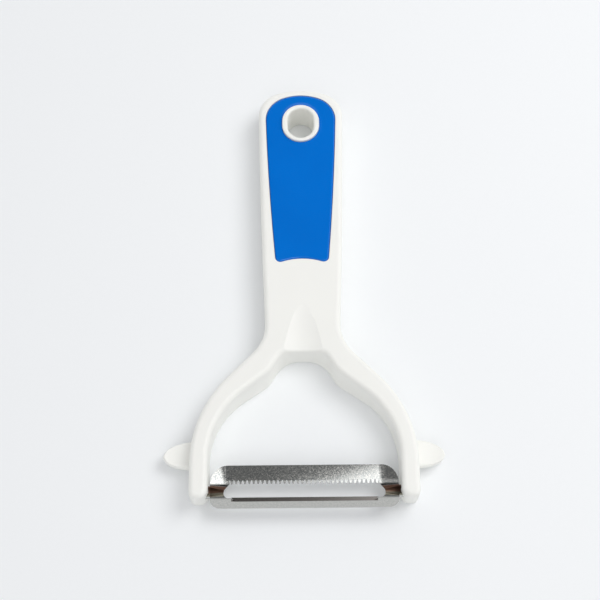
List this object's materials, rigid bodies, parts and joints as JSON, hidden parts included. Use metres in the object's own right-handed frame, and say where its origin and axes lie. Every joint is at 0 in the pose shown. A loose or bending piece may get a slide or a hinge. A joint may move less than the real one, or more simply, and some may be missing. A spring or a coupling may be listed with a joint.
{
  "type": "vegetable peeler",
  "caption": "Y-shaped vegetable peeler: a forked white handle with a glossy blue grip panel, and a swivelling slotted steel blade with one toothed edge across the fork.",
  "frame": {"origin": "middle of the whole part's footprint, on the surface it lies on", "axes": "+Z out of the grip's front, +Y from the blade to the handle's tip, X along the blade"},
  "size_m": [0.0904, 0.149, 0.0123],
  "materials": {
    "white_plastic": "satin injection moulding",
    "blue_plastic": "glossy injection moulding",
    "blade_steel": "stamped and ground stainless strip"
  },
  "bodies": {
    "handle": {"handle_yoke": "white_plastic", "grip_inlay": "blue_plastic"},
    "blade": {"swivel_blade": "blade_steel"}
  },
  "joints": [
    {"name": "blade_swivel", "type": "hinge", "parent": "handle", "child": "blade", "pos_m": [0, -0.06903, 0.00565], "axis": [1, 0, 0], "range_deg": [-22, 22]}
  ]
}
